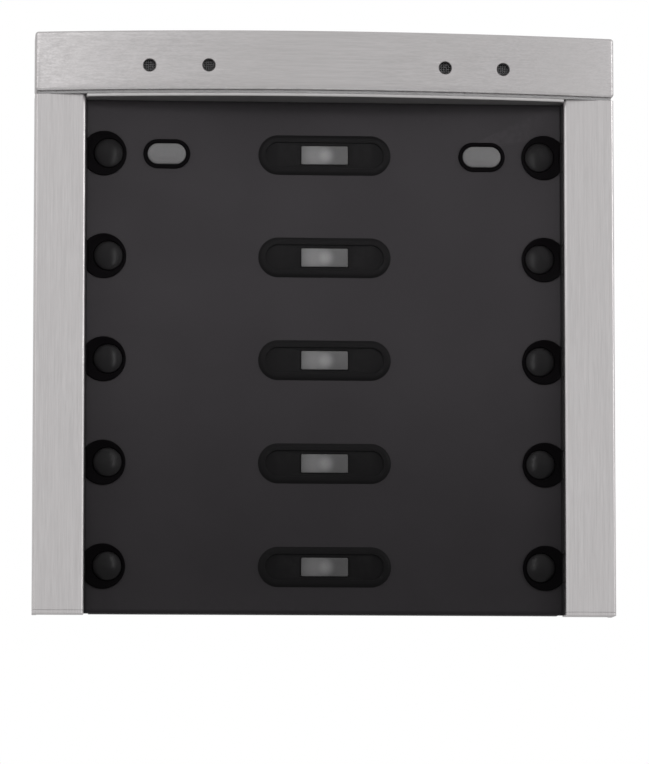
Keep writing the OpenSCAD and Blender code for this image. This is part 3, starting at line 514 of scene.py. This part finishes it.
def makePiece(name, bm, node, bevelWidth=0.0, smoothAngle=softEdges["smoothAngle"], body="panel"):
    bmesh.ops.remove_doubles(bm, verts=bm.verts, dist=1e-7)
    bmesh.ops.recalc_face_normals(bm, faces=bm.faces)
    piece = meshObject(name, bm)
    if bevelWidth:
        edge = piece.modifiers.new("softEdges", "BEVEL")
        edge.width, edge.segments = bevelWidth * mm, softEdges["segments"]
        edge.limit_method, edge.angle_limit = "ANGLE", math.radians(softEdges["fromAngle"])
        edge.miter_outer = "MITER_ARC"
    for polygon in piece.data.polygons:
        polygon.use_smooth = True
    piece.data.set_sharp_from_angle(angle=math.radians(smoothAngle))
    if bevelWidth:
        shade = piece.modifiers.new("flatFaces", "WEIGHTED_NORMAL")
        shade.keep_sharp = True
    piece.data.materials.append(finishes[slotOf[node]])
    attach(piece, body)
    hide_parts(node)
    return piece


def softenedCopy(node, name, width):
    # The node's own solid, with its flat faces joined up and its sharp edges rounded
    bm = bmesh.new()
    bm.from_mesh(nodes[node].data)
    bmesh.ops.remove_doubles(bm, verts=bm.verts, dist=1e-6)
    bmesh.ops.dissolve_limit(bm, angle_limit=math.radians(softEdges["flatWithin"]),
                             verts=bm.verts, edges=bm.edges)
    makePiece(name, bm, node, bevelWidth=width, smoothAngle=softEdges["copyAngle"])


def combine(piece, bm, name, operation):
    # Adds another closed shape to a piece, or cuts it away, for good
    bmesh.ops.recalc_face_normals(bm, faces=bm.faces)
    shape = meshObject(name, bm)
    step = piece.modifiers.new(name, "BOOLEAN")
    step.operation, step.solver, step.object = operation, "EXACT", shape
    graph = bpy.context.evaluated_depsgraph_get()
    graph.update()
    combined = bpy.data.meshes.new_from_object(piece.evaluated_get(graph))
    piece.modifiers.clear()
    piece.data = combined
    bpy.data.objects.remove(shape)


def bridge(bm, first, second):
    count = len(first)
    for i in range(count):
        j = (i + 1) % count
        bm.faces.new((first[i], first[j], second[j], second[i]))


def loft(bm, rings, capFirst=False, capLast=False, closed=False):
    # Skins a row of rings with as many points each; closed joins the last to the first
    made = [[bm.verts.new(p) for p in ring] for ring in rings]
    for first, second in zip(made, made[1:]):
        bridge(bm, first, second)
    if closed:
        bridge(bm, made[-1], made[0])
    if capFirst:
        bm.faces.new(made[0])
    if capLast:
        bm.faces.new(made[-1])
    return made


def fillBetween(bm, rings):
    # A flat face with holes: the first ring is its outline
    edges = []
    for ring in rings:
        for i, vert in enumerate(ring):
            other = ring[(i + 1) % len(ring)]
            edges.append(bm.edges.get((vert, other)) or bm.edges.new((vert, other)))
    bmesh.ops.triangle_fill(bm, use_beauty=True, use_dissolve=False, edges=edges)


def circlePoints(x, z, r, d, count=72):
    return [point(x + r * math.cos(a), d, z + r * math.sin(a))
            for a in (2 * math.pi * i / count for i in range(count))]


def pillPoints(x, z, length, height, d, half=28):
    reach, r = (length - height) / 2, height / 2
    ring = []
    for side, start in ((1, -90), (-1, 90)):
        for i in range(half + 1):
            a = math.radians(start + 180 * i / half)
            ring.append(point(x + side * reach + r * math.cos(a), d, z + r * math.sin(a)))
    return ring


def roundedRect(x0, z0, x1, z1, r, d, steps=6):
    ring = []
    for cx, cz, start in ((x1 - r, z0 + r, -90), (x1 - r, z1 - r, 0), (x0 + r, z1 - r, 90),
                          (x0 + r, z0 + r, 180)):
        for i in range(steps + 1):
            a = math.radians(start + 90 * i / steps)
            ring.append(point(cx + r * math.cos(a), d, cz + r * math.sin(a)))
    return ring


# Header: a bowed tray. Its lower wall is open from the back to floorFront, for the chassis
header = {"cornerR": 1.3, "edgeR": 0.9, "edgeSteps": 5, "wall": 2.0, "innerR": 0.3,
          "railStep": 0.5,  # the bow's ends stand this far in front of the rails
          "straightWalls": 4.0,  # what lies this close to the back isn't bowed
          "stripWidth": 2.5, "floorFront": 45.0, "floorOver": 0.2,
          "portD": 5.0, "portPitch": 24.3, "portSteps": 48,
          "portEdge": ((0.35, 0.0), (0.10, 0.245), (0.0, 0.49)),  # wider than the bore, depth
          "bossR": 3.2, "bossBore": 1.55, "bossDepth": 8.0, "bossSteps": 40}
railFront = depthOf("left_rail")[1]
plateFront = depthOf("face_plate")[1]
headBack, headFront = depthOf("header_bar")
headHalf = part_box("header_bar")[1].x / mm
headEnds = railFront + header["railStep"]
portX, portZ = centreOf("microphone_mesh")


def bowAt(x):
    # How far the header's front stands before its ends
    rise = headFront - headEnds
    radius = (headHalf ** 2 + rise ** 2) / (2 * rise)
    return math.sqrt(radius ** 2 - x ** 2) - radius + rise


def screwPlace(side, lowest):
    # Middle of the frame screw that goes into the header on this side
    corners = [v.co for v in nodes["frame_screws"].data.vertices
               if v.co.z > lowest and v.co.x * side > 0]
    across, up = [c.x for c in corners], [c.z for c in corners]
    return (min(across) + max(across)) / 2 / mm, (min(up) + max(up)) / 2 / mm


def straightHeader():
    # The header before it is bowed: a tray with a rounded front edge and four ports
    low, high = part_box("header_bar")
    bottom, top, wall, edgeR = low.z / mm, high.z / mm, header["wall"], header["edgeR"]
    bm = bmesh.new()
    rings = []
    for k in range(header["edgeSteps"] + 1):
        a = math.radians(90 * k / header["edgeSteps"])
        inset = edgeR * (1 - math.sin(a))
        rings.append(roundedRect(inset - headHalf, bottom + inset, headHalf - inset, top - inset,
                                 header["cornerR"] - inset, headEnds - edgeR * (1 - math.cos(a))))
    rings.append(roundedRect(-headHalf, bottom, headHalf, top, header["cornerR"], headBack))
    rings += [roundedRect(wall - headHalf, bottom + wall, headHalf - wall, top - wall,
                          header["innerR"], d) for d in (headBack, headEnds - wall)]
    outlines = loft(bm, rings)
    ports = []
    for side in sides.values():
        for step in (-0.5, 0.5):
            x, r = side * portX + step * header["portPitch"], header["portD"] / 2
            ports.append(loft(bm, [
                circlePoints(x, portZ, r + wider, headEnds - depth, header["portSteps"])
                for wider, depth in header["portEdge"] + ((0.0, wall),)]))
    fillBetween(bm, [outlines[0]] + [port[0] for port in ports])
    fillBetween(bm, [outlines[-1]] + [port[-1] for port in ports])
    return bm


def buildHeader():
    bm = straightHeader()
    strips = int(2 * headHalf / header["stripWidth"])
    for i in range(1, strips):
        x = -headHalf + 2 * headHalf * i / strips
        bmesh.ops.bisect_plane(bm, geom=bm.verts[:] + bm.edges[:] + bm.faces[:],
                               plane_co=(x * mm, 0, 0), plane_no=(1, 0, 0))
    for vert in bm.verts:
        if -vert.co.y / mm > headBack + header["straightWalls"]:
            vert.co.y -= bowAt(vert.co.x / mm) * mm
    piece = makePiece("headerBar", bm, "header_bar")
    lowest, wall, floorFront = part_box("header_bar")[0].z, header["wall"], header["floorFront"]
    opening, past = bmesh.new(), 1.0  # the cutter reaches this far past the metal
    loft(opening, [roundedRect(wall - headHalf, lowest / mm - past, headHalf - wall,
                               lowest / mm + wall + header["floorOver"], header["floorOver"], d)
                   for d in (headBack - past, floorFront)], True, True)
    combine(piece, opening, "floorOpening", "DIFFERENCE")
    for side in sides.values():
        x, z = screwPlace(side, lowest)
        tip = headEnds + bowAt(x) - wall / 2  # ends inside the front wall
        boss = bmesh.new()
        loft(boss, [circlePoints(x, z, r, d, header["bossSteps"]) for r, d in (
            (header["bossBore"], floorFront + header["bossDepth"]),
            (header["bossBore"], floorFront), (header["bossR"], floorFront),
            (header["bossR"], tip))], True, True)
        combine(piece, boss, "screwBoss", "UNION")
    piece.data.set_sharp_from_angle(angle=math.radians(softEdges["smoothAngle"]))


buildHeader()
print("header built")

softenedCopy("top_trim_strip", "topTrimStrip", edgeWidths["trim"])
for sideName in sides:
    softenedCopy(sideName + "_rail", sideName + "Rail", edgeWidths["rails"])
    softenedCopy(sideName + "_rail_end_cap", sideName + "RailEndCap", edgeWidths["rails"])
softenedCopy("face_plate", "facePlate", edgeWidths["plate"])
print("rails, trim and plate built")

# Round bezels: a dished face, cut flat beside the rail, and a sleeve that guides the button
bezel = {"outerR": 9.3, "boreR": 6.1, "sleeveR": 7.05, "sleeveBack": 44.4, "rim": 0.8,
         "dish": 0.75, "dishSteps": 7, "land": 0.55, "edgeR": 0.25, "lip": 0.15, "lipDrop": 0.9,
         "flatInset": 1.6, "steps": 96}


def bezelRings(side, z, row):
    capX = abs(centreOf("call_button_right_%d" % row)[0])
    low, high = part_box("right_button_bezels")
    outerR, boreR, sleeveR = bezel["outerR"], bezel["boreR"], bezel["sleeveR"]
    flatX, midX = high.x / mm, low.x / mm + outerR
    rim = plateFront + bezel["rim"]
    dishHalf = outerR - bezel["land"]
    dishR = (dishHalf ** 2 + bezel["dish"] ** 2) / (2 * bezel["dish"])

    def ring(cx, r, depth, inset=0.0, dished=False):
        points = []
        for i in range(bezel["steps"]):
            a = 2 * math.pi * i / bezel["steps"]
            x = min(cx + r * math.cos(a), flatX - inset)
            across = r * math.sin(a)
            d = depth
            if dished:
                away = math.hypot(x - midX, across)
                fall = bezel["dish"] - (dishR - math.sqrt(max(dishR ** 2 - away ** 2, 0.0)))
                d = depth - max(fall, 0.0)
            points.append(point(side * x, d, z + across))
        return points

    e, land = bezel["edgeR"], bezel["land"]
    rings = [ring(midX, outerR, plateFront), ring(midX, outerR, rim - e),
             ring(midX, outerR - e * arcMiddle, rim - e * arcMiddle, e * arcMiddle),
             ring(midX, outerR - e, rim, e), ring(midX, outerR - land, rim, land)]
    for i in range(bezel["dishSteps"]):
        t = (i + 1) / bezel["dishSteps"]
        rings.append(ring(midX + (capX - midX) * t,
                          dishHalf + (boreR + bezel["lip"] - dishHalf) * t, rim,
                          land + bezel["flatInset"] * t, True))
    return rings + [ring(capX, r, d) for r, d in (
        (boreR, rim - bezel["lipDrop"]), (boreR, bezel["sleeveBack"]),
        (sleeveR, bezel["sleeveBack"]), (sleeveR, plateFront))]


for sideName, side in sides.items():
    bm = bmesh.new()
    for row in rows:
        z = centreOf("call_button_%s_%d" % (sideName, row))[1]
        loft(bm, bezelRings(side, z, row), closed=True)
    makePiece(sideName + "ButtonBezels", bm, sideName + "_button_bezels")

# Call buttons: a domed cap whose shoulder rolls over, and a flange that holds it in
cap = {"r": 6.0, "domeRise": 2.4, "domeSteps": 15, "flangeR": 6.95, "flangeT": 1.0,
       "shoulder": ((0.0, -0.6), (0.05, -0.25), (0.18, 0.05), (0.40, 0.26))}  # inward, upward


def buildCallButton(sideName, row):
    node = "call_button_%s_%d" % (sideName, row)
    x, z = centreOf(node)
    back, front = depthOf(node)
    domeR = (cap["r"] ** 2 + cap["domeRise"] ** 2) / (2 * cap["domeRise"])
    shoulder = front - cap["domeRise"]
    profile = [(cap["flangeR"], back), (cap["flangeR"], back + cap["flangeT"]),
               (cap["r"], back + cap["flangeT"])]
    profile += [(cap["r"] - inward, shoulder + upward) for inward, upward in cap["shoulder"]]
    domeEdge = profile[-1][0]
    for i in range(1, cap["domeSteps"]):
        r = domeEdge * (1 - i / cap["domeSteps"])
        profile.append((r, front - domeR + math.sqrt(domeR ** 2 - r ** 2)))
    bm = bmesh.new()
    rings = loft(bm, [circlePoints(x, z, r, d) for r, d in profile], capFirst=True)
    tip = bm.verts.new(point(x, front, z))
    last = rings[-1]
    for i, vert in enumerate(last):
        bm.faces.new((vert, last[(i + 1) % len(last)], tip))
    makePiece("callButton_%s_%d" % (sideName, row), bm, node, body=node)


for sideName in sides:
    for row in rows:
        buildCallButton(sideName, row)
print("call buttons built")

# Name windows: the slope of the surround rounds over to a crest, and a sunk floor holds the lens
window = {"edge": 0.08, "slope": 2.6, "crest": 0.4, "crestR": 0.12, "recess": 0.8, "rim": 1.0,
          "floorR": 0.1, "bodyStep": 0.95, "guideWall": 1.1, "guideGap": 0.001, "fit": 0.1,
          "holeR": 0.45, "holeEdge": 0.12, "holeSteps": 4, "smoothAngle": 44,
          "profile": ((0.16, 0.40), (0.32, 0.68), (0.42, 0.83), (0.52, 0.92), (0.66, 0.975),
                      (1, 1))}  # shares of the slope's width and of the rim's height
lens = {"flange": 1.2, "flangeT": 1.0, "cornerR": 0.6, "cornerShrink": 0.8, "edgeR": 0.3,
        "edgeSteps": 4, "crown": 0.1, "crownSteps": 4, "crownStep": 0.7, "crownR": 0.2}


def buildHousing(row):
    node = "window_housing_%d" % row
    low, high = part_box(node)
    x, z = centreOf(node)
    length, height = (high.x - low.x) / mm, (high.z - low.z) / mm
    front = depthOf(node)[1]
    slope, inset = window["slope"], window["slope"] + window["crest"]
    floor = front - window["recess"]
    lensLow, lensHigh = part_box("window_lens_%d" % row)
    guideHalfW = (lensHigh.x - lensLow.x) / mm / 2 + window["fit"]
    guideHalfH = (lensHigh.z - lensLow.z) / mm / 2 + window["fit"]
    holeHalfW, holeHalfH = guideHalfW - lens["flange"], guideHalfH - lens["flange"]
    bodyBack = depthOf("window_lens_%d" % row)[0]
    shelf = bodyBack + lens["flangeT"]

    def outline(step, d):
        return pillPoints(x, z, length - 2 * step, height - 2 * step, d)

    def opening(halfW, halfH, d):
        return roundedRect(x - halfW, z - halfH, x + halfW, z + halfH, window["holeR"], d,
                           window["holeSteps"])

    rings = [outline(window["bodyStep"], bodyBack), outline(window["bodyStep"], plateFront),
             outline(0, plateFront), outline(0, plateFront + window["edge"])]
    for across, up in window["profile"]:
        rings.append(outline(slope * across, plateFront + window["rim"] * up))
    r, floorR, edge = window["crestR"], window["floorR"], window["holeEdge"]
    rings += [outline(inset - r, front),
              outline(inset - r * arcMiddle, front - r * arcMiddle), outline(inset, front - r),
              outline(inset, floor + floorR), outline(inset + floorR, floor)]
    bm = bmesh.new()
    shell = loft(bm, rings)
    hole = loft(bm, [opening(holeHalfW + edge, holeHalfH + edge, floor),
                     opening(holeHalfW, holeHalfH, floor - edge),
                     opening(holeHalfW, holeHalfH, shelf), opening(guideHalfW, guideHalfH, shelf),
                     opening(guideHalfW, guideHalfH, bodyBack)])
    fillBetween(bm, [shell[-1], hole[0]])
    fillBetween(bm, [shell[0], hole[-1]])
    # The guide behind it is a shell of its own, a hair away
    wall, guideBack = window["guideWall"], depthOf(node)[0]
    guideFront = bodyBack - window["guideGap"]
    loft(bm, [opening(guideHalfW, guideHalfH, guideFront),
              opening(guideHalfW + wall, guideHalfH + wall, guideFront),
              opening(guideHalfW + wall, guideHalfH + wall, guideBack),
              opening(guideHalfW, guideHalfH, guideBack)], closed=True)
    makePiece("windowHousing_%d" % row, bm, node, smoothAngle=window["smoothAngle"])


def buildLens(row):
    node = "window_lens_%d" % row
    low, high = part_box(node)
    back, front = depthOf(node)
    x0, x1, z0, z1 = low.x / mm, high.x / mm, low.z / mm, high.z / mm
    flange, r, e, shelf = lens["flange"], lens["cornerR"], lens["edgeR"], back + lens["flangeT"]

    def outline(inset, cornerR, d):
        return roundedRect(x0 + inset, z0 + inset, x1 - inset, z1 - inset, cornerR, d)

    rings = [outline(0, r, back), outline(0, r, shelf), outline(flange, r, shelf)]
    for k in range(lens["edgeSteps"] + 1):
        a = math.radians(90 * k / lens["edgeSteps"])
        inset = e * (1 - math.cos(a))
        rings.append(outline(flange + inset, r - inset * lens["cornerShrink"],
                             front - lens["crown"] - e * (1 - math.sin(a))))
    for k in range(1, lens["crownSteps"] + 1):
        rings.append(outline(flange + e + lens["crownStep"] * k, lens["crownR"],
                             front - lens["crown"] * (1 - k / lens["crownSteps"]) ** 2))
    bm = bmesh.new()
    loft(bm, rings, True, True)
    makePiece("windowLens_%d" % row, bm, node)


for row in rows:
    buildHousing(row)
    buildLens(row)
print("name windows built")

# Service buttons: an oval cap with a wide rolled edge and a slight crown
service = {"flange": 0.7, "flangeT": 1.0, "rollWidth": 1.6, "rollDrop": 0.7, "rollSteps": 8,
           "crown": 0.25, "crownSteps": 4, "crownStep": 0.5}


def buildServiceButton(sideName):
    node = sideName + "_service_button"
    low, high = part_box(node)
    x, z = centreOf(node)
    back, front = depthOf(node)
    flange, shelf, width = service["flange"], back + service["flangeT"], service["rollWidth"]

    def outline(inset, d):
        return pillPoints(x, z, (high.x - low.x) / mm - 2 * inset,
                          (high.z - low.z) / mm - 2 * inset, d)

    rings = [outline(0, back), outline(0, shelf), outline(flange, shelf)]
    for k in range(service["rollSteps"] + 1):
        a = math.radians(90 * k / service["rollSteps"])
        rings.append(outline(flange + width * (1 - math.cos(a)),
                             front - service["crown"] - service["rollDrop"] * (1 - math.sin(a))))
    for k in range(1, service["crownSteps"] + 1):
        rings.append(outline(flange + width + service["crownStep"] * k,
                             front - service["crown"] * (1 - k / service["crownSteps"]) ** 2))
    bm = bmesh.new()
    loft(bm, rings, True, True)
    makePiece(sideName + "ServiceButton", bm, node, body=node)


for sideName in sides:
    softenedCopy(sideName + "_service_bezel", sideName + "ServiceBezel",
                 edgeWidths["serviceBezels"])
    buildServiceButton(sideName)
print("service buttons built")

# Woven wire behind the ports: it follows the bow of the header's front wall
wire = {"pitch": 0.95, "r": 0.17, "lift": 0.16, "segments": 6, "behind": 0.6, "margin": 0.3,
        "cutBack": 0.1}


def buildPortMesh(node, name):
    low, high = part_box(node)
    x0, x1, z0, z1 = low.x / mm, high.x / mm, low.z / mm, high.z / mm
    pitch, margin, cutBack = wire["pitch"], wire["margin"], wire["cutBack"]
    bm = bmesh.new()

    def surface(x):
        return headEnds + bowAt(x) - header["wall"] - wire["behind"]

    def strand(fixed, start, stop, alongX, phase):
        rings, count = [], int((stop - start) / pitch) * 2
        for i in range(count + 1):
            t = start + (stop - start) * i / count
            wave = wire["lift"] * math.cos(math.pi * ((t - start) / pitch + phase))
            x, z = (t, fixed) if alongX else (fixed, t)
            d = surface(x) + (wave if alongX else -wave)
            ring = []
            for k in range(wire["segments"]):
                a = 2 * math.pi * k / wire["segments"]
                u, v = wire["r"] * math.cos(a), wire["r"] * math.sin(a)
                ring.append(point(x, d + v, z + u) if alongX else point(x + u, d + v, z))
            rings.append(ring)
        loft(bm, rings, True, True)

    for i in range(int((z1 - z0 - 2 * margin) / pitch) + 1):
        strand(z0 + margin + i * pitch, x0 + cutBack, x1 - cutBack, True, i % 2)
    for i in range(int((x1 - x0 - 2 * margin) / pitch) + 1):
        strand(x0 + margin + i * pitch, z0 + cutBack, z1 - cutBack, False, i % 2)
    makePiece(name, bm, node)


buildPortMesh("speaker_mesh", "speakerMesh")
buildPortMesh("microphone_mesh", "microphoneMesh")
print("port meshes woven")

softenedCopy("flush_box", "flushBox", edgeWidths["box"])
softenedCopy("rear_cover", "rearCover", edgeWidths["cover"])
softenedCopy("chassis_frame", "chassisFrame", edgeWidths["chassis"])
softenedCopy("cable_grommet", "cableGrommet", edgeWidths["grommet"])
print("box and frame built")

# Stage, in metres: the floor's place, tone and glow, and the world's light
stageSizes = {"floorZ": -0.285, "floorHalf": 12.0, "ambient": 0.50, "floorTone": 0.40,
              "floorGlow": 0.50}
lamps = {  # an unseen lamp leaves no hot spot in metal
    "upperLamp": {"place": (0.03, -0.45, 0.20), "aim": (0, -0.05, 0.10), "size": (0.8, 0.08),
                  "spread": 60, "watts": 0.26, "seen": False},
    "middleLamp": {"place": (0.03, -0.55, 0.12), "aim": (0, -0.05, 0.02), "size": (0.8, 0.06),
                   "spread": 32, "watts": 0.15, "seen": False},
    "leftLamp": {"place": (-0.66, -1.10, 0.50), "aim": (0, -0.05, 0), "size": (0.5, 0.5),
                 "spread": 180, "watts": 1.25, "seen": True, "notOn": "callButton_"},
    "leftEdgeLamp": {"place": (-1.20, -0.45, 0.30), "aim": (0, -0.05, 0), "size": (0.4, 0.6),
                     "spread": 180, "watts": 5.0, "seen": False},
    "rightLamp": {"place": (1.20, -0.80, 0.40), "aim": (0, -0.05, 0), "size": (0.5, 0.5),
                  "spread": 180, "watts": 3.3, "seen": True, "notOn": "callButton_"},
    "rightEdgeLamp": {"place": (1.20, -0.45, 0.30), "aim": (0, -0.05, 0), "size": (0.4, 0.6),
                      "spread": 180, "watts": 4.4, "seen": False},
    "glintLamp": {"place": (0, -0.17, 0.01), "aim": (0, -0.05, 0.01), "size": (0.02, 0.24),
                  "spread": 180, "watts": 0.20, "seen": True, "only": "callButton_"},
}


def seenRays(tree):
    # 1 for what the camera sees directly, in a reflection or through glass
    path = addNode(tree, "ShaderNodeLightPath").outputs
    return sums(tree, "MAXIMUM", path["Is Camera Ray"],
                sums(tree, "MAXIMUM", path["Is Glossy Ray"], path["Is Transmission Ray"]))


def buildFloor():
    bm = bmesh.new()
    half, z = stageSizes["floorHalf"], stageSizes["floorZ"]
    bm.faces.new([bm.verts.new((x * half, y * half, z))
                  for x, y in ((-1, -1), (1, -1), (1, 1), (-1, 1))])
    floor = meshObject("studioFloor", bm)
    material, tree, shader = startMaterial("studioFloorFinish", 0.9, specular=0.1)[:3]
    # The tone keeps the shadow, and the glow shows only directly and in reflections
    shader.inputs["Base Color"].default_value = (stageSizes["floorTone"],) * 3 + (1,)
    glow = addNode(tree, "ShaderNodeMapRange", {0: seenRays(tree), 4: stageSizes["floorGlow"]})
    shader.inputs["Emission Color"].default_value = (1, 1, 1, 1)
    tree.links.new(glow.outputs[0], shader.inputs["Emission Strength"])
    floor.data.materials.append(material)


def buildWorld():
    world = bpy.data.worlds.new("studioWorld")
    bpy.context.scene.world = world
    world.use_nodes = True
    tree = world.node_tree
    background = tree.nodes["Background"]
    background.inputs["Color"].default_value = (1, 1, 1, 1)
    strength = addNode(tree, "ShaderNodeMapRange", {0: seenRays(tree), 3: stageSizes["ambient"],
                                                    4: 1.0})
    tree.links.new(strength.outputs[0], background.inputs["Strength"])


def buildLamps():
    for name, lamp in lamps.items():
        data = bpy.data.lights.new(name, "AREA")
        data.shape = "RECTANGLE"
        data.size, data.size_y = lamp["size"]
        data.spread, data.energy = math.radians(lamp["spread"]), lamp["watts"]
        lampObject = bpy.data.objects.new(name, data)
        lampObject.location = lamp["place"]
        lampObject.rotation_euler = aimedRotation(lamp["place"], lamp["aim"])
        lampObject.visible_camera = False
        lampObject.visible_glossy = lamp["seen"]
        bpy.context.scene.collection.objects.link(lampObject)
        chosen = lamp.get("only") or lamp.get("notOn")  # pieces that it lights or leaves alone
        if chosen:
            taking = bpy.data.collections.new(name + "Pieces")
            for piece in bpy.context.scene.objects:
                if piece.name.startswith(chosen):
                    taking.objects.link(piece)
            for entry in taking.collection_objects:
                entry.light_linking.link_state = "INCLUDE" if "only" in lamp else "EXCLUDE"
            lampObject.light_linking.receiver_collection = taking


buildFloor()
buildWorld()
buildLamps()
bpy.context.scene.view_settings.view_transform = "Standard"
print("stage, world and lamps set")
